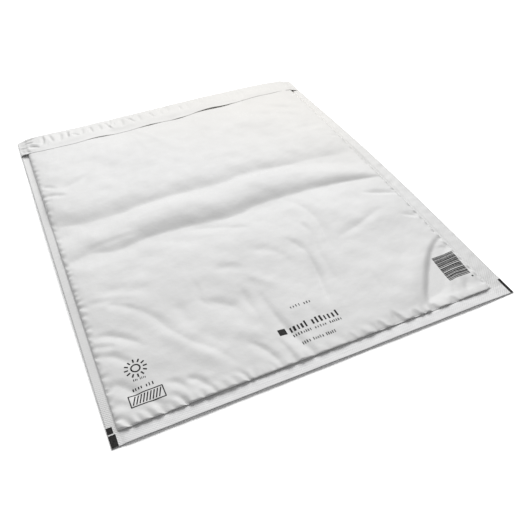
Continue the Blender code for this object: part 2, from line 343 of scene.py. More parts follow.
def nearest_on(x, y, points):
    """Distance to a curve, the side of it (1 left, -1 right), and how far along it, as a share."""
    line = curve_through(points)
    nearest = np.full_like(x, np.inf)
    side = np.zeros_like(x)
    along = np.zeros_like(x)
    spans = len(line) - 1
    for k in range(spans):
        step = line[k + 1] - line[k]
        t = np.clip(((x - line[k][0]) * step[0] + (y - line[k][1]) * step[1]) / (step @ step), 0.0, 1.0)
        off_x = x - line[k][0] - t * step[0]
        off_y = y - line[k][1] - t * step[1]
        distance = np.hypot(off_x, off_y)
        closer = distance < nearest
        nearest = np.where(closer, distance, nearest)
        side = np.where(closer, np.sign(step[0] * off_y - step[1] * off_x), side)
        along = np.where(closer, (k + t) / spans, along)
    return nearest, side, along


def film_crease(x, y, depth, left, right, points):
    """A crease: steepest at its line, rounding off into the film on both sides."""
    nearest, side, along = nearest_on(x, y, points)
    nearest = np.hypot(nearest, 1.6) - 1.6
    reach = np.where(side > 0, left, right)
    taper = smooth(along / 0.4) * smooth((1.0 - along) / 0.4)
    width = reach * (0.45 + 0.55 * taper)
    return -depth * taper * (1.0 - np.clip(nearest / width, 0.0, 1.0)) ** 1.8


def corner_step(x, y, drop, width, points):
    """A drop to the right of a curve, where the pad ends and the film lies flat in the corner."""
    nearest, side, along = nearest_on(x, y, points)
    size = np.interp(along, (0.0, 0.10, 0.25, 0.40, 0.55, 0.75, 1.0), (0.0, 0.4, 0.9, 1.0, 0.75, 0.5, 0.15))
    inward = np.clip(nearest * side / (width * (0.35 + 0.65 * size)), 0.0, 1.0)
    places, line = zip(*points)
    in_front = np.interp(x, places, line) - y
    climb = np.where(side < 0, np.clip(0.085 * in_front, 0.0, 0.75 * drop * size), 0.0)
    return climb - drop * size * (1.0 - inward) ** 1.8


def soft_form(x, y, rise, half_width, points):
    """A rounded ridge or hollow along a curve."""
    nearest, side, along = nearest_on(x, y, points)
    taper = smooth(along / 0.35) * smooth((1.0 - along) / 0.35)
    return rise * taper * np.exp(-((nearest / half_width) ** 2) * 1.2)


def pucker_set(start, end, pitch, sizes, lengths, seed):
    """Seeded puckers along a weld: (place, depth, length, width, lean) rows."""
    random = np.random.default_rng(seed)
    rows = []
    place = start + pitch * random.uniform(0.3, 0.9)
    while place < end - 0.4 * pitch:
        depth = random.uniform(*sizes)
        length = random.uniform(*lengths)
        width = pitch * random.uniform(0.16, 0.30)
        lean = random.uniform(-0.45, 0.45)
        rows.append((place, depth, length, width, lean))
        place += pitch * random.uniform(0.65, 1.4)
    return rows


def puckers(along, inward, rows):
    """How much a row of puckers lowers the film: narrow at the weld, wider and shallower further in."""
    total = np.zeros_like(along)
    inside = np.clip(inward, 0.0, None)
    for place, depth, length, width, lean in rows:
        near = (np.abs(along - place) < 6.0 * width + 0.5 * length) & (inward < length) & (inward > -0.2)
        if not near.any():
            continue
        d = inside[near]
        spread = width * (0.55 + 1.3 * d / length)
        off = np.abs(along[near] - place - lean * d) / spread
        fade = (1.0 - d / length) ** 1.5 * smooth(d / 1.4 + 0.25)
        total[near] += depth * fade * (np.exp(-(off**1.3)) - 0.3 * np.exp(-(((off - 2.0) / 0.9) ** 2)))
    return total


# Puckers at the bottom weld: two seeded sets, then the ones that the photo shows
BOTTOM_PUCKERS = (
    pucker_set(-176, 168, 13.0, (0.4, 1.2), (9.0, 18.0), 5)
    + pucker_set(-176, 168, 6.0, (0.2, 0.6), (3.0, 6.0), 6)
    + [
        (-121, 2.4, 16.0, 2.4, -0.55),
        (-69, 2.0, 16.0, 2.4, -0.5),
        (-108, 1.6, 9.0, 1.8, -0.1),
        (-88, 1.0, 12.0, 2.2, -0.4),
        (-165, 1.8, 10.0, 2.4, -0.8),
        (-148, 1.8, 12.0, 2.2, -0.6),
        (-157, 1.3, 9.0, 1.6, -0.6),
        (-139, 1.7, 11.0, 1.8, -0.6),
        (-131, 1.3, 9.0, 1.6, -0.5),
        (-97, 1.6, 11.0, 1.8, -0.4),
        (-79, 1.2, 8.0, 1.6, -0.4),
        (-46, 1.3, 10.0, 1.8, -0.3),
        (-18, 1.0, 9.0, 1.8, -0.2),
        (46, 0.8, 10.0, 2.2, 0.2),
        (63, 0.8, 12.0, 2.2, 0.0),
        (98, 0.8, 10.0, 2.2, -0.2),
    ]
)
LEFT_PUCKERS = (
    pucker_set(-224, -20, 8.6, (1.0, 2.2), (4.0, 10.0), 7)
    + pucker_set(-20, 196, 12.0, (0.9, 2.0), (4.0, 10.0), 8)
)

# Notches at the right weld: (y, depth)
RIGHT_NOTCHES = (
    (-218, 2.2), (-208, 1.6), (-197, 2.4), (-184, 1.8), (-172, 2.4), (-160, 2.0), (-149, 2.6),
    (-138, 2.2), (-126, 1.8), (-115, 2.0), (-105, 2.8), (-92, 2.0), (-75, 1.8), (-60, 2.8),
    (-47, 2.0), (-33, 1.2), (-18, 1.4), (-2, 1.2), (14, 1.4), (33, 1.0), (52, 1.2),
)
RIGHT_PUCKERS = (
    pucker_set(-224, 80, 11.5, (0.8, 1.8), (2.6, 6.5), 9)
    + pucker_set(80, 196, 15.0, (0.4, 1.0), (2.5, 6.0), 10)
    + [(place, 1.9 * depth, 3.0 + 0.8 * depth, 1.4, 0.0) for place, depth in RIGHT_NOTCHES]
)


# Pleats that run out over the bottom weld: (x, depth, length, half width)
BOTTOM_PLEATS = (
    (25, 1.8, 9.0, 4.0),
    (36, 1.6, 6.0, 3.5),
    (54, 2.2, 9.0, 4.2),
    (71, 2.8, 14.5, 5.0),
    (89, 2.4, 6.5, 5.0),
    (108, 2.6, 7.0, 4.6),
    (129, 2.4, 7.0, 4.6),
)


def pleats(along, inward, rows):
    """How much pleats lower the film: three-cornered falls, widest at the weld, with firm sides."""
    total = np.zeros_like(along)
    for place, depth, length, half in rows:
        share = np.clip(1.0 - inward / length, 0.0, 1.0)
        total += depth * share * np.exp(-((np.abs(along - place) / (half * (0.15 + share))) ** 4))
    return total


def rim(distance, steep, reach, share):
    """Rise of the pad out of a weld, from 0 to 1: a steep part and a long one."""
    return share * ellipse(distance, steep) + (1.0 - share) * ellipse(distance, reach)


def film_level(x, y, from_bottom):
    """Height of the film over the padding, as if the welds did not hold it down."""
    level = pad_level(x, y)
    for height, wavelength, seed in FILM_WAVES:
        level = level + height * ripples(x, y, wavelength, seed)
    level = level + 0.9 * np.exp(-(((from_bottom - 3.0) / 6.0) ** 2))
    level = level + corner_step(x, y, *NEAR_CORNER) * (0.3 + 0.7 * smooth(from_bottom / 20.0))
    for one in CREASES:
        level = level + film_crease(x, y, *one)
    for one in SOFT_FORMS:
        level = level + soft_form(x, y, *one)
    return level


def face_height(x, y):
    """Height of the padded face over the table."""
    from_left = x - LEFT_WELD
    from_right = right_weld(y) - x
    from_bottom = y - BOTTOM_WELD
    weld = seal_height(x, y) + FILM / 2
    inside = rim(from_left, 4.0, 38.0, 0.55) * rim(from_right, 4.0, 36.0, 0.42)
    inside = inside * rim(from_bottom, 2.4, 9.0, 0.94)
    top = weld + (film_level(x, y, from_bottom) - weld) * inside
    gathered = (
        puckers(x, from_bottom, BOTTOM_PUCKERS)
        + pleats(x, from_bottom, BOTTOM_PLEATS)
        + puckers(y, from_left, LEFT_PUCKERS)
        + puckers(y, from_right, RIGHT_PUCKERS)
    )
    room = smooth(from_left / 2.0) * smooth(from_right / 2.0) * smooth(from_bottom / 2.0)
    top = np.maximum(top - gathered * room, weld + 0.15 * room)
    top = np.where((from_left > 0) & (from_right > 0) & (from_bottom > 0), top, weld)
    groove = 0.9 * np.exp(-((from_right / 1.4) ** 2)) - 0.4 * np.exp(-(((from_right + 2.2) / 1.5) ** 2))
    return top - groove * smooth(from_bottom / 6.0)


def strip_height(x, y):
    """Top of the bottom strip: two loose films between the side seals, a little puffed."""
    between = smooth((x - LEFT_WELD) / 4.0) * smooth((right_weld(y) - x) / 26.0)
    puff = 0.5 + 0.12 * ripples(x, y * 0.3, 60.0, 3) + 0.07 * ripples(x, y, 14.0, 4)
    puff = puff * (0.15 + 0.85 * smooth((BOTTOM_WELD - y) / 2.2))
    return seal_height(x, y) + FILM / 2 + puff * between


def underside_height(x, y):
    """Height of the underside: on the table under the padding, with the seals off it."""
    inside = ellipse(x - LEFT_WELD, 40.0) * ellipse(right_weld(y) - x, 40.0)
    inside = inside * ellipse(y - BOTTOM_WELD, 40.0)
    return (seal_height(x, y) - FILM / 2) * (1.0 - inside)


def spaced(start, end, first, widest, grow=1.18):
    """Places from start to end: close together at both ends and wider apart in the middle."""
    half = (end - start) / 2
    steps = []
    step, reached = first, 0.0
    while reached + step < half:
        steps.append(step)
        reached += step
        step = min(step * grow, widest)
    ends = np.concatenate([[0.0], np.cumsum(steps)]) * (half / (reached + step / 2 + 1e-9))
    ends = ends[ends < half]
    return np.concatenate([start + ends, (end - ends)[::-1]])


def closed_loft(name, loops):
    """A closed mesh from loops of points, in millimetres, with a cap on the first and the last loop."""
    count, around = loops.shape[0], loops.shape[1]
    points = (loops.reshape(-1, 3) * MM).tolist()
    faces = []
    for i in range(count - 1):
        a, b = i * around, (i + 1) * around
        for k in range(around):
            n = (k + 1) % around
            faces.append((a + k, b + k, b + n, a + n))
    faces.append(tuple(range(around)))
    faces.append(tuple(reversed(range((count - 1) * around, count * around))))
    mesh = bpy.data.meshes.new(name)
    mesh.from_pydata(points, [], faces)
    mesh.validate()
    mesh.update()
    piece = bpy.data.objects.new(name, mesh)
    bpy.context.scene.collection.objects.link(piece)
    return piece


def face_outward(piece):
    """Turns the mesh inside out if its volume comes out negative."""
    mesh = piece.data
    corners = np.empty(len(mesh.vertices) * 3)
    mesh.vertices.foreach_get("co", corners)
    corners = corners.reshape(-1, 3)
    mesh.calc_loop_triangles()
    triangles = np.empty(len(mesh.loop_triangles) * 3, dtype=np.int32)
    mesh.loop_triangles.foreach_get("vertices", triangles)
    a, b, c = corners[triangles.reshape(-1, 3)].transpose(1, 0, 2)
    if np.einsum("ij,ij->i", a, np.cross(b, c)).sum() < 0.0:
        mesh.flip_normals()


# The body's ends in y, how far its film hangs over the bottom weld and the left weld, and the thickness of
# the near lip
BODY_END = 233.5
NEAR_END = -HALF_LENGTH + 0.4
OVERHANG = 2.9
LEFT_OVERHANG = 0.5
LIP = 0.8

# How the film turns at the two ends: (share of the way from the top to the underside, y)
LIP_TURN = (
    (0.2, NEAR_END - 0.33),
    (0.5, NEAR_END - 0.4),
    (0.8, NEAR_END - 0.2),
)
END_TURN = (
    (0.75, BODY_END + 0.15),
    (0.4, BODY_END + 0.3),
    (0.15, BODY_END + 0.2),
)


def flap_edge(x):
    return rounded(x, FLAP_EDGE)


def leaning_grid(columns, rows):
    """Grids of x and y, with the columns beside the right seal along its weld."""
    x, y = np.meshgrid(columns, rows, indexing="ij")
    return lean_to_weld(x, y), y


def face_grid(columns):
    """The padded face, far end first, hanging over the bottom weld and a little over the left one."""
    x, y = leaning_grid(columns, spaced(BOTTOM_WELD, BODY_END, 0.45, 1.72)[::-1])
    z = face_height(x, y)
    under_flap = smooth((y - flap_edge(x) - 2.0) / 4.0)
    z = z - under_flap * np.minimum(0.5, z * 0.3)
    near = np.clip((y - BOTTOM_WELD) / 5.0, 0.0, 1.0)
    between = smooth((x - LEFT_WELD) / 6.0) * smooth((right_weld(y) - x) / 6.0)
    y = y - OVERHANG * np.sin(np.pi * near**0.8) * between
    left = np.clip((x - LEFT_WELD) / 4.0, 0.0, 1.0)
    x = x - LEFT_OVERHANG * np.sin(np.pi * left)
    return np.stack([x, y, z], axis=-1)


def strip_grid(columns):
    """The bottom strip, from the weld to its near edge."""
    x, y = leaning_grid(columns, np.linspace(BOTTOM_WELD, NEAR_END, 14)[1:])
    return np.stack([x, y, strip_height(x, y)], axis=-1)


def underside_grid(columns, near_height):
    """The underside, near edge first."""
    rows = np.concatenate([[NEAR_END, -236.0], np.linspace(BOTTOM_WELD, BODY_END, 13)])
    x, y = leaning_grid(columns, rows)
    z = underside_height(x, y)
    z[:, 0] = near_height
    return np.stack([x, y, z], axis=-1)


def turned_rows(top, low, turns):
    """Rows of points that carry the film round an end."""
    rows = []
    for share, y in turns:
        row = top * (1.0 - share) + low * share
        row[..., 1] = y
        rows.append(row)
    return rows


def body_mesh():
    columns = np.concatenate(
        [
            np.linspace(-HALF_WIDTH, LEFT_WELD, 8)[:-1],
            spaced(LEFT_WELD, RIGHT_WELD, 0.45, 1.36),
            np.linspace(RIGHT_WELD, HALF_WIDTH, 10)[1:],
        ]
    )
    over = face_grid(columns)
    strip = strip_grid(columns)
    under = underside_grid(columns, strip[:, -1, 2] - LIP)
    lip = turned_rows(strip[:, -1:, :], under[:, :1, :], LIP_TURN)
    end = turned_rows(over[:, :1, :], under[:, -1:, :], END_TURN)
    return closed_loft("film_body", np.concatenate([over, strip, *lip, under, *end], axis=1))


# Where the flap's free edge stands open: (x, half length, height)
OPENINGS = (
    (-90, 22, 0.5),
    (-28, 18, 0.6),
    (11, 13, 0.5),
    (60, 36, 1.25),
    (155, 22, 0.12),
    (175, 8, 0.4),
    (-181, 9, 2.3),
)

# Thickness of the flap's film, its gap over the pad at the edge and behind it, the depth of the far fold,
# and how far the film lies under the body
FLAP_FILM = 0.45
EDGE_GAP = 0.06
FLAP_GAP = 0.25
FOLD_DEPTH = 1.5
WRAP = 0.25
TABLE_GAP = 0.02

# Beyond this distance from the middle the flap is stretched over the steps at the side seals
DRAPE_FROM = 166.0


def flap_gap(x):
    """Height of the flap's free edge over the pad."""
    gap = np.full_like(x, EDGE_GAP)
    for place, half, height in OPENINGS:
        gap = gap + height * smooth(1.0 - np.abs(x - place) / half)
    return gap


# Crinkles across the flap: (x, y of the middle, half length, half width, lean, size)
FLAP_CRINKLES = (
    (-156, 222, 9, 1.5, 0.05, -0.7),
    (-152.5, 227, 7, 1.3, 0.0, 0.5),
    (-146, 222, 9, 1.9, -0.1, -0.8),
    (-135, 220, 10, 2.4, 0.1, -0.7),
    (-126, 222, 8, 1.5, 0.05, -0.75),
    (-122, 223, 6, 1.2, 0.15, 0.7),
    (-117, 217, 5, 2.0, -0.7, -0.6),
    (-108, 220, 8, 2.2, 0.1, -0.6),
    (-97, 220, 8, 1.6, -0.05, -0.8),
    (-86, 220, 8, 2.2, 0.0, -0.6),
    (-76, 220, 9, 1.7, -0.25, -0.8),
    (-72, 214, 5, 1.4, -0.2, 0.5),
    (-68, 221, 4, 0.9, 0.2, -0.6),
    (-58, 219, 9, 2.4, 0.1, -0.7),
    (-46, 220, 8, 1.9, -0.4, -0.75),
    (-35, 220, 9, 2.2, 0.0, -0.6),
    (-19, 220, 7, 1.8, -0.2, -0.7),
    (-6, 222, 8, 2.2, 0.1, -0.6),
    (3, 226, 8, 3.2, 0.2, -0.7),
    (20, 224, 9, 1.8, 0.0, -0.55),
    (30, 221, 8, 2.2, 0.1, -0.5),
    (50, 221, 4, 2.0, 0.3, -0.35),
    (92, 220, 8, 2.0, 0.4, -0.25),
    (150, 216, 7, 2.6, -0.5, -0.3),
)

# How strong the crinkles are
CRINKLE = 1.5

# Puckers where the left seal runs into the flap: (x, y, half length, half width, direction in degrees, size)
FLAP_END_PUCKERS = (
    (-169, 213.5, 8, 2.2, -40, -2.0),
    (-172, 226, 4, 2.0, -15, -1.1),
    (-171, 233.5, 6, 1.5, 10, -1.1),
    (-176, 219, 8, 1.8, -35, 0.9),
    (-166, 219, 6, 1.6, -40, 0.6),
    (-175, 205, 3, 1.4, -60, -1.0),
    (-181, 209, 6, 1.3, -75, -0.7),
)


def flap_crinkle(x, y):
    """Crinkles across the flap: the listed ones, seeded fainter ones, and the puckers at its left end."""
    random = np.random.default_rng(21)
    total = np.zeros_like(x)
    rows = list(FLAP_CRINKLES)
    for _ in range(70):
        place = random.uniform(-160.0, 182.0)
        size = random.uniform(-0.40, 0.32) * (1.0 if place < 10.0 else 0.6)
        lean = random.uniform(-0.4, 0.4)
        middle = random.uniform(212.0, 234.0)
        half = random.uniform(4.0, 10.0)
        width = random.uniform(0.9, 2.4)
        rows.append((place, middle, half, width, lean, size))
    for place, middle, half, width, lean, size in rows:
        off = (x - place - lean * (y - middle)) / width
        total += CRINKLE * size * np.exp(-(off**2)) * np.exp(-(((y - middle) / half) ** 4))
    for place, middle, half, width, turn, size in FLAP_END_PUCKERS:
        a = np.radians(turn)
        along = (x - place) * np.cos(a) + (y - middle) * np.sin(a)
        across = (y - middle) * np.cos(a) - (x - place) * np.sin(a)
        total += size * np.exp(-((across / width) ** 2)) * np.exp(-((along / half) ** 4))
    return total


def draped_height(x, y):
    """Height of the pad under the flap, with the film stretched over the steps at the side seals."""
    own = face_height(lean_to_weld(x, y), y)
    for side in (-1.0, 1.0):
        seal = seal_height(np.full_like(x, side * HALF_WIDTH), y) + FILM / 2
        pad = face_height(np.full_like(x, side * DRAPE_FROM), y)
        tent = seal + (pad - seal) * smooth((HALF_WIDTH - side * x) / (HALF_WIDTH - DRAPE_FROM))
        own = np.where(side * x > DRAPE_FROM, np.maximum(own, tent), own)
    return own


def wrapped_height(x, y):
    """Height of the flap's film under the body, just clear of the table."""
    return np.maximum(underside_height(x, y) - WRAP, TABLE_GAP)


def far_fold(columns, far, top):
    """Rows of points round the far fold, from the top of the flap to the film under the body."""
    low = wrapped_height(columns, np.full_like(columns, 235.0))[:, None]
    middle = (top + low) / 2
    half = (top - low) / 2
    rows = []
    for angle in np.radians((55.0, 30.0, 5.0, -20.0, -45.0, -70.0)):
        y = far + FOLD_DEPTH * np.cos(angle)
        rows.append(np.stack([columns[:, None], y, middle + half * np.sin(angle)], axis=-1))
    return rows


def flap_under(columns):
    """The flap's film under the body: its lower side to its end, then its upper side back."""
    y = np.tile((233.0, 228.0, 222.0), (len(columns), 1))
    x = np.repeat(columns[:, None], y.shape[1], axis=1)
    lower = np.stack([x, y, wrapped_height(x, y)], axis=-1)
    upper = np.stack([x, y, underside_height(x, y) + 0.12], axis=-1)
    return lower, upper[:, ::-1]


def flap_mesh():
    columns = spaced(-HALF_WIDTH, HALF_WIDTH, 0.8, 1.2)
    shares = np.linspace(0.0, 1.0, 44)
    thick = FLAP_FILM * (0.2 + 0.8 * smooth(shares / 0.35))
    x = np.repeat(columns[:, None], len(shares), axis=1)
    edge = flap_edge(x)
    wave = 0.5 * ripples(x, x * 0.0, 46.0, 12)
    corner = 1.4 * np.clip((np.abs(x) - 179.0) / 6.0, 0.0, 1.0) ** 2
    far = rounded(x, FAR_EDGE) - FOLD_DEPTH - 0.2 * ripples(x, x * 0.0, 22.0, 13) ** 2 - corner
    y = edge + wave * (1.0 - shares) + (far - edge) * shares
    gap = FLAP_GAP + (flap_gap(x) - FLAP_GAP) * (1.0 - smooth(shares / 0.55))
    crinkle = flap_crinkle(x, y) * smooth(shares / 0.12)
    low = draped_height(x, y) + gap
    low = low + np.minimum(crinkle, 0.0)
    top = low + thick + np.maximum(crinkle, 0.0)
    outer = np.stack([x, y, top], axis=-1)
    inner = np.stack([x, y, np.minimum(low, top - 0.08)], axis=-1)
    fold = far_fold(columns, far[:, -1:], top[:, -1:])
    loops = np.concatenate([outer, *fold, *flap_under(columns), inner[:, ::-1]], axis=1)
    return closed_loft("film_flap", loops)


class Nodes:
    """Short ways to make and link the nodes of one material."""

    def __init__(self, material):
        material.use_nodes = True
        self.tree = material.node_tree

    def make(self, kind, **settings):
        node = self.tree.nodes.new(kind)
        for key, value in settings.items():
            setattr(node, key, value)
        return node

    def link(self, source, target):
        self.tree.links.new(source, target)

    def put(self, value, target):
        """Sets a constant, or links a socket."""
        if isinstance(value, (int, float, tuple)):
            target.default_value = value
        else:
            self.link(value, target)

    def math(self, operation, *values):
        node = self.make("ShaderNodeMath", operation=operation)
        for value, target in zip(values, node.inputs):
            self.put(value, target)
        return node.outputs[0]

    def noise(self, place, scale, detail, roughness=0.5):
        node = self.make("ShaderNodeTexNoise")
        node.inputs["Scale"].default_value = scale
        node.inputs["Detail"].default_value = detail
        node.inputs["Roughness"].default_value = roughness
        self.link(place, node.inputs["Vector"])
        return node.outputs["Fac"]

    def ramp(self, value, low, high):
        """A colour ramp between two (position, colour) ends."""
        node = self.make("ShaderNodeValToRGB")
        for element, (position, colour) in zip(node.color_ramp.elements, (low, high)):
            element.position = position
            element.color = colour
        self.link(value, node.inputs["Fac"])
        return node.outputs["Color"]

    def blend(self, share, first, second, kind="MIX"):
        """Mixes two colours. Inputs 0, 6 and 7 are the share and the two colours, output 2 is the result."""
        node = self.make("ShaderNodeMix", data_type="RGBA", blend_type=kind)
        for value, index in ((share, 0), (first, 6), (second, 7)):
            self.put(value, node.inputs[index])
        return node.outputs[2]


# Colours of the film: (position, colour) ends of its clouds and of the brushed strip, which is painted
# lighter than the rest of the film as if lit more, the painted warm tint of light toward the far right, and
# the painted shade under the near lip
CLOUD_ENDS = (
    (0.30, (0.800, 0.800, 0.797, 1.0)),
    (0.72, (0.845, 0.845, 0.842, 1.0)),
)
BRUSHED_AND_LIT_ENDS = (
    (0.32, (0.86, 0.86, 0.87, 1.0)),
    (0.62, (0.94, 0.94, 0.94, 1.0)),
)
WARM_LIGHT_TINT = (1.0, 0.982, 0.950, 1.0)
LIP_SHADE = (0.30, 0.30, 0.31, 1.0)

# The pressed diamonds: waves in radians a metre, how far the pattern stays off a weld in metres, and its
# strength on the right seal, on the strip and over all
DIAMOND_RATE = 2650.0
WELD_MARGIN = 0.0002
RIGHT_SHARE = 0.7
STRIP_SHARE = 0.35
DIAMOND_SHARE = 0.55


def film_colour(nodes, place, x, y):
    """White with faint clouds; brushed on the strip and painted lighter there; a painted warm light tint
    toward the far right; painted shade under the near lip.
    """
    white = nodes.ramp(nodes.noise(place, 14.0, 3.0, 0.55), *CLOUD_ENDS)
    stretched = nodes.make("ShaderNodeCombineXYZ")
    nodes.link(nodes.math("MULTIPLY", x, 60.0), stretched.inputs[0])
    nodes.link(nodes.math("MULTIPLY", y, 900.0), stretched.inputs[1])
    # Painted light: the strip's white is lighter than the rest of the film, standing in for light that the
    # strip catches; its streaks are the strip's real brushed grain.
    brushed_and_lit = nodes.ramp(nodes.noise(stretched.outputs[0], 1.0, 4.0), *BRUSHED_AND_LIT_ENDS)
    on_strip = nodes.math("LESS_THAN", y, (BOTTOM_WELD - 0.8) * MM)
    colour = nodes.blend(on_strip, white, brushed_and_lit)
    # Painted warm light: the film is tinted warm toward the far right corner, as a warm light would tint it.
    toward_far_right = nodes.math("ADD", y, nodes.math("MULTIPLY", x, 0.8))
    warm_light = nodes.math("MULTIPLY", nodes.math("SUBTRACT", toward_far_right, 0.06), 4.5)
    colour = nodes.blend(warm_light, colour, WARM_LIGHT_TINT, "MULTIPLY")
    # Painted shade: the underside of the near lip is coloured dark, where it would lie in shade.
    under_lip = nodes.math("LESS_THAN", y, (0.3 - HALF_LENGTH) * MM)
    return nodes.blend(under_lip, colour, LIP_SHADE)


def film_gloss(nodes, place):
    """Satin sheen that varies a little."""
    gloss = nodes.make("ShaderNodeMapRange")
    gloss.inputs["From Min"].default_value = 0.3
    gloss.inputs["From Max"].default_value = 0.7
    gloss.inputs["To Min"].default_value = 0.46
    gloss.inputs["To Max"].default_value = 0.58
    nodes.link(nodes.noise(place, 60.0, 4.0, 0.55), gloss.inputs["Value"])
    return gloss.outputs["Result"]


def film_crumple(nodes, place):
    """Fine crumple and grain, as a height for the bump."""
    crumple = nodes.math("MULTIPLY", nodes.noise(place, 170.0, 5.0, 0.6), 0.8)
    grain = nodes.math("MULTIPLY", nodes.noise(place, 900.0, 2.0, 0.55), 0.12)
    return nodes.math("ADD", crumple, grain)


def pressed_diamonds(nodes, x, y):
    """The pattern pressed into the side seals and, more faintly, into the strip. It fades to the far end."""
    math = nodes.math
    first = math("SINE", math("MULTIPLY", math("ADD", x, y), DIAMOND_RATE))
    second = math("SINE", math("MULTIPLY", math("SUBTRACT", x, y), DIAMOND_RATE))
    near = math("MULTIPLY", math("SUBTRACT", -0.150, y), 14.0)
    near = math("MINIMUM", math("MAXIMUM", near, 0.35), 1.0)
    left = math("MULTIPLY", math("LESS_THAN", x, LEFT_WELD * MM - WELD_MARGIN), near)
    slant = (RIGHT_WELD_FAR - RIGHT_WELD_NEAR) / RIGHT_WELD_RUN
    lean = math("MULTIPLY", math("SUBTRACT", y, BOTTOM_WELD * MM), slant)
    right = math("GREATER_THAN", math("SUBTRACT", x, lean), RIGHT_WELD_NEAR * MM + WELD_MARGIN)
    right = math("MULTIPLY", right, math("MULTIPLY", near, RIGHT_SHARE))
    strip = math("MULTIPLY", math("LESS_THAN", y, (BOTTOM_WELD - 1.5) * MM), STRIP_SHARE)
    where = math("MAXIMUM", math("ADD", left, right), strip)
    return math("MULTIPLY", math("MULTIPLY", math("MAXIMUM", first, second), where), DIAMOND_SHARE)


def film_material(name, has_seals):
    """White film with a satin sheen and a fine crumple, and with pressed diamonds where it has seals."""
    material = bpy.data.materials.new(name)
    nodes = Nodes(material)
    shader = nodes.tree.nodes["Principled BSDF"]
    shader.inputs["Metallic"].default_value = 0.0
    shader.inputs["IOR"].default_value = 1.5
    shader.inputs["Specular IOR Level"].default_value = 0.32
    shader.inputs["Coat Weight"].default_value = 0.05
    shader.inputs["Coat Roughness"].default_value = 0.28
    place = nodes.make("ShaderNodeTexCoord").outputs["Object"]
    split = nodes.make("ShaderNodeSeparateXYZ")
    nodes.link(place, split.inputs[0])
    x, y = split.outputs["X"], split.outputs["Y"]
    nodes.link(film_colour(nodes, place, x, y), shader.inputs["Base Color"])
    nodes.link(film_gloss(nodes, place), shader.inputs["Roughness"])
    height = film_crumple(nodes, place)
    if has_seals:
        height = nodes.math("ADD", height, pressed_diamonds(nodes, x, y))
    bump = nodes.make("ShaderNodeBump")
    bump.inputs["Strength"].default_value = 0.55
    bump.inputs["Distance"].default_value = 0.0005
    nodes.link(height, bump.inputs["Height"])
    nodes.link(bump.outputs["Normal"], shader.inputs["Normal"])
    return material


# Ends of the ink's tone: (position, colour)
INK_ENDS = (
    (0.35, (0.006, 0.006, 0.006, 1.0)),
    (0.85, (0.050, 0.048, 0.048, 1.0)),
)


def ink_material():
    """Flat black ink, a little worn."""
    material = bpy.data.materials.new("black_ink")
    nodes = Nodes(material)
    shader = nodes.tree.nodes["Principled BSDF"]
    shader.inputs["Roughness"].default_value = 0.6
    shader.inputs["Specular IOR Level"].default_value = 0.12
    shader.inputs["Metallic"].default_value = 0.0
    place = nodes.make("ShaderNodeTexCoord").outputs["Object"]
    tone = nodes.ramp(nodes.noise(place, 700.0, 3.0), *INK_ENDS)
    nodes.link(tone, shader.inputs["Base Color"])
    return material


class Print:
    """Collects flat print as small cells, which are then laid on the film."""

    def __init__(self, cell=0.8):
        self.cell = cell
        self.points = []
        self.faces = []

    def patch(self, corners):
        """A four-sided field, cut into cells."""
        a, b, c, d = (np.array(corner, dtype=float) for corner in corners)
        across = max(1, int(np.ceil(max(np.linalg.norm(b - a), np.linalg.norm(c - d)) / self.cell)))
        up = max(1, int(np.ceil(max(np.linalg.norm(d - a), np.linalg.norm(c - b)) / self.cell)))
        start = len(self.points)
        for j in range(up + 1):
            for i in range(across + 1):
                low = a + (b - a) * i / across
                high = d + (c - d) * i / across
                self.points.append(low + (high - low) * j / up)
        for j in range(up):
            for i in range(across):
                k = start + j * (across + 1) + i
                self.faces.append((k, k + 1, k + across + 2, k + across + 1))

    def bar(self, left, low, width, height):
        """An upright rectangle."""
        right, high = left + width, low + height
        self.patch([(left, low), (right, low), (right, high), (left, high)])

    def stroke(self, points, width, closed=False):
        """A line of one width through the points."""
        line = [np.array(point, dtype=float) for point in points]
        if closed:
            line.append(line[0])
        for a, b in zip(line, line[1:]):
            along = (b - a) / np.linalg.norm(b - a)
            side = np.array((-along[1], along[0])) * width / 2
            more = along * width * 0.2
            self.patch([a - more - side, b + more - side, b + more + side, a - more + side])

    def ring(self, middle, radius, width):
        angles = np.radians(np.linspace(0.0, 360.0, max(12, int(radius * 12.0))))
        points = [(middle[0] + radius * np.cos(a), middle[1] + radius * np.sin(a)) for a in angles]
        self.stroke(points, width)

    def strokes(self, left, low, width, height, groups, pitch, weight, seed):
        """Plain upright strokes in groups, in place of a line of words."""
        random = np.random.default_rng(seed)
        places = []
        place = 0.0
        for count in groups:
            for _ in range(count):
                places.append(place)
                place += pitch * random.uniform(0.85, 1.15)
            place += pitch * 0.9
        scale = width / (places[-1] + pitch * weight)
        for place in places:
            tall = height * (1.0 if random.uniform() < 0.35 else 0.76)
            self.bar(left + place * scale, low, pitch * weight * random.uniform(0.8, 1.2), tall)

    def lay(self, name, surface, lift=0.10):
        """Makes the mesh, each point set just over the film under it."""
        points = []
        for x, y in self.points:
            hit = surface.ray_cast(Vector((x * MM, y * MM, 0.05)), Vector((0.0, 0.0, -1.0)))
            height = hit[0].z if hit[0] is not None else 0.002
            points.append((x * MM, y * MM, height + lift * MM))
        mesh = bpy.data.meshes.new(name)
        mesh.from_pydata(points, [], self.faces)
        mesh.update()
        piece = bpy.data.objects.new(name, mesh)
        bpy.context.scene.collection.objects.link(piece)
        return piece


# Middle of the round emblem, corner of the square before the long line, and the block of stripes:
# its left edge and width, its low and high ends, and how far it slants
EMBLEM = (-149.0, -177.0)
SQUARE = (-29.0, -197.5)
STRIPES_LEFT = 141.0
STRIPES_WIDTH = 23.0
STRIPES_LOW = -203.5
STRIPES_HIGH = -170.0
STRIPES_SLANT = 0.08


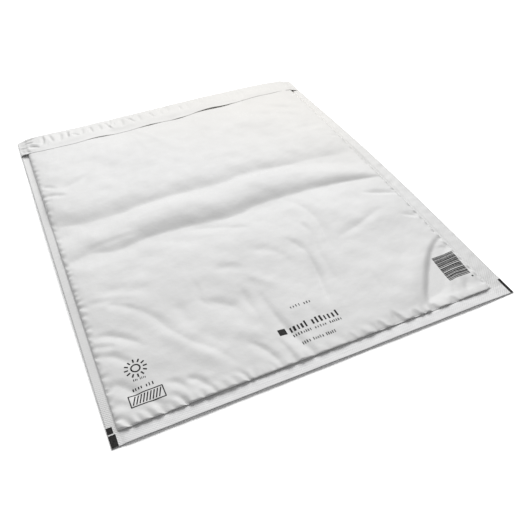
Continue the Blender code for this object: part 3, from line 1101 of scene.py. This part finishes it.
def emblem_print():
    """A ring with twelve dashes round it, and short strokes under it."""
    emblem = Print()
    middle = np.array(EMBLEM)
    for angle in np.radians(np.arange(0, 360, 30)):
        direction = np.array((np.cos(angle), np.sin(angle)))
        emblem.stroke([middle + 6.4 * direction, middle + 9.2 * direction], 1.3)
    emblem.ring(EMBLEM, 3.6, 1.2)
    emblem.strokes(-154.0, -189.4, 10.0, 2.0, (3, 4), 1.3, 0.45, 31)
    return emblem


def field_print():
    """A slanting hatch in a frame, with strokes over it."""
    field = Print()
    field.strokes(-157.0, -198.2, 17.0, 3.2, (4, 3), 2.2, 0.42, 32)
    frame = [(-162.0, -202.0), (-134.5, -202.0), (-134.5, -213.5), (-162.0, -213.5)]
    field.stroke(frame, 0.9, closed=True)
    for place in np.arange(-158.5, -136.0, 2.6):
        field.stroke([(place - 1.6, -211.8), (place + 1.6, -203.7)], 1.0)
    return field


def lines_print():
    """Four lines of strokes, one of them tall and with a square before it."""
    lines = Print()
    lines.strokes(-7.5, -173.0, 19.5, 2.9, (4, 3), 2.2, 0.4, 33)
    lines.bar(*SQUARE, 7.0, 7.0)
    lines.strokes(-18.5, -197.5, 46.0, 7.0, (5, 7), 3.4, 0.5, 34)
    lines.strokes(-18.5, -203.0, 46.0, 2.8, (8, 5, 6), 2.0, 0.42, 35)
    lines.strokes(-15.0, -213.8, 31.0, 3.2, (4, 5, 5), 1.9, 0.42, 36)
    return lines


def stripes_print():
    """A block of plain stripes of uneven thickness, with a dot beside it."""
    stripes = Print()
    random = np.random.default_rng(37)
    y = STRIPES_LOW
    while y < STRIPES_HIGH:
        thick = random.choice([0.7, 0.7, 1.1, 1.5])
        left = STRIPES_LEFT + STRIPES_SLANT * (y - STRIPES_LOW)
        stripes.bar(left, y, STRIPES_WIDTH, thick)
        y += thick + random.choice([0.4, 0.5, 0.7, 1.0])
    stripes.ring((163.2, -207.7), 0.5, 0.9)
    return stripes


def marks_print():
    """Plain black marks at the near corners."""
    marks = Print()
    marks.bar(-184.8, -227.0, 4.6, 6.2)
    marks.bar(-184.8, -239.6, 5.6, 11.4)
    marks.bar(182.0, -239.6, 2.9, 19.0)
    return marks


def printed_pieces(surface):
    return [
        emblem_print().lay("print_emblem", surface),
        field_print().lay("print_field", surface),
        lines_print().lay("print_lines", surface),
        stripes_print().lay("print_stripes", surface),
        marks_print().lay("print_marks", surface, 0.06),
    ]


def look_from(azimuth, elevation, roll):
    """Axes of a camera or lamp that looks at a point from that direction."""
    a, e, r = np.radians((azimuth, elevation, roll))
    back = Vector((np.sin(a) * np.cos(e), -np.cos(a) * np.cos(e), np.sin(e)))
    right = Vector((0.0, 0.0, 1.0)).cross(back).normalized()
    up = back.cross(right)
    return (
        right * np.cos(r) - up * np.sin(r),
        right * np.sin(r) + up * np.cos(r),
        back,
    )


def placed(data, name, target, azimuth, elevation, distance, roll=0.0):
    right, up, back = look_from(azimuth, elevation, roll)
    thing = bpy.data.objects.new(name, data)
    matrix = Matrix((right, up, back)).transposed().to_4x4()
    matrix.translation = (Vector(target) + back * distance) * MM
    thing.matrix_world = matrix
    bpy.context.scene.collection.objects.link(thing)
    return thing


# The photograph's camera, solved from the envelope's four corners. Its shift is in pixels of the photograph.
SENSOR_WIDTH = 36.0
LENS = 43.82
PHOTO_WIDTH = 530.0
SHIFT = -25.0
CAMERA_TARGET = (19.5, -114.5, 0.0)
CAMERA_AZIMUTH = -24.57
CAMERA_ELEVATION = 41.65
CAMERA_DISTANCE = 621.0
CAMERA_ROLL = 1.40

# The soft lamp behind the envelope and the even fill of the world
LAMP_AZIMUTH = 160.0
LAMP_ELEVATION = 41.0
LAMP_DISTANCE = 3200.0
LAMP_SIZE = (3400.0, 2200.0)
LAMP_WATTS = 122.0
FILL = 0.22

# The floor, in metres
FLOOR_REACH = 6.0


def camera():
    data = bpy.data.cameras.new("camera")
    data.sensor_width = SENSOR_WIDTH
    data.lens = LENS
    data.shift_x = SHIFT / PHOTO_WIDTH
    data.clip_start = 0.01
    bpy.context.scene.camera = placed(
        data, "camera", CAMERA_TARGET, CAMERA_AZIMUTH, CAMERA_ELEVATION, CAMERA_DISTANCE, CAMERA_ROLL
    )


def back_softbox():
    data = bpy.data.lights.new("back_softbox", "AREA")
    data.shape = "RECTANGLE"
    data.size = LAMP_SIZE[0] * MM
    data.size_y = LAMP_SIZE[1] * MM
    data.energy = LAMP_WATTS
    placed(data, "back_softbox", (0.0, 0.0, 0.0), LAMP_AZIMUTH, LAMP_ELEVATION, LAMP_DISTANCE)


def floor_material():
    """White for the camera and in reflections, a little darker for the light that it throws back."""
    material = bpy.data.materials.new("pale_floor")
    nodes = Nodes(material)
    shader = nodes.tree.nodes["Principled BSDF"]
    shader.inputs["Base Color"].default_value = (0.86, 0.86, 0.86, 1.0)
    shader.inputs["Roughness"].default_value = 0.9
    shader.inputs["Specular IOR Level"].default_value = 0.1
    rays = nodes.make("ShaderNodeLightPath")
    seen = nodes.math("MAXIMUM", rays.outputs["Is Camera Ray"], rays.outputs["Is Glossy Ray"])
    seen = nodes.math("MAXIMUM", seen, rays.outputs["Is Transmission Ray"])
    bright = nodes.make("ShaderNodeBsdfDiffuse")
    bright.inputs["Color"].default_value = (1.6, 1.6, 1.6, 1.0)
    both = nodes.make("ShaderNodeMixShader")
    nodes.link(seen, both.inputs[0])
    nodes.link(shader.outputs[0], both.inputs[1])
    nodes.link(bright.outputs[0], both.inputs[2])
    nodes.link(both.outputs[0], nodes.tree.nodes["Material Output"].inputs["Surface"])
    return material


def white_floor():
    corners = [(x * FLOOR_REACH, y * FLOOR_REACH, 0) for x, y in ((-1, -1), (1, -1), (1, 1), (-1, 1))]
    mesh = bpy.data.meshes.new("floor")
    mesh.from_pydata(corners, [], [(0, 1, 2, 3)])
    mesh.materials.append(floor_material())
    floor = bpy.data.objects.new("floor", mesh)
    bpy.context.scene.collection.objects.link(floor)


def white_world():
    """A white background for the camera, and a weak even fill for the rest."""
    world = bpy.data.worlds.new("studio")
    bpy.context.scene.world = world
    world.use_nodes = True
    nodes, links = world.node_tree.nodes, world.node_tree.links
    rays = nodes.new("ShaderNodeLightPath")
    mix = nodes.new("ShaderNodeMapRange")
    mix.inputs["To Min"].default_value = FILL
    mix.inputs["To Max"].default_value = 1.0
    links.new(rays.outputs["Is Camera Ray"], mix.inputs["Value"])
    links.new(mix.outputs["Result"], nodes["Background"].inputs["Strength"])
    nodes["Background"].inputs["Color"].default_value = (1.0, 1.0, 1.0, 1.0)


def studio():
    white_floor()
    white_world()
    back_softbox()
    bpy.context.scene.view_settings.view_transform = "Standard"


def main():
    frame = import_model()

    body = body_mesh()
    flap = flap_mesh()
    for piece, has_seals in ((body, True), (flap, False)):
        face_outward(piece)
        piece.data.shade_smooth()
        piece.data.materials.append(film_material(piece.name, has_seals))
    graph = bpy.context.evaluated_depsgraph_get()
    surface = BVHTree.FromObject(body, graph)
    prints = printed_pieces(surface)
    ink = ink_material()
    for piece in prints:
        piece.data.materials.append(ink)

    for piece in (body, flap, *prints):
        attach(piece, "root")
    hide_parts("envelope")
    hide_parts("envelope")

    studio()
    camera()


main()
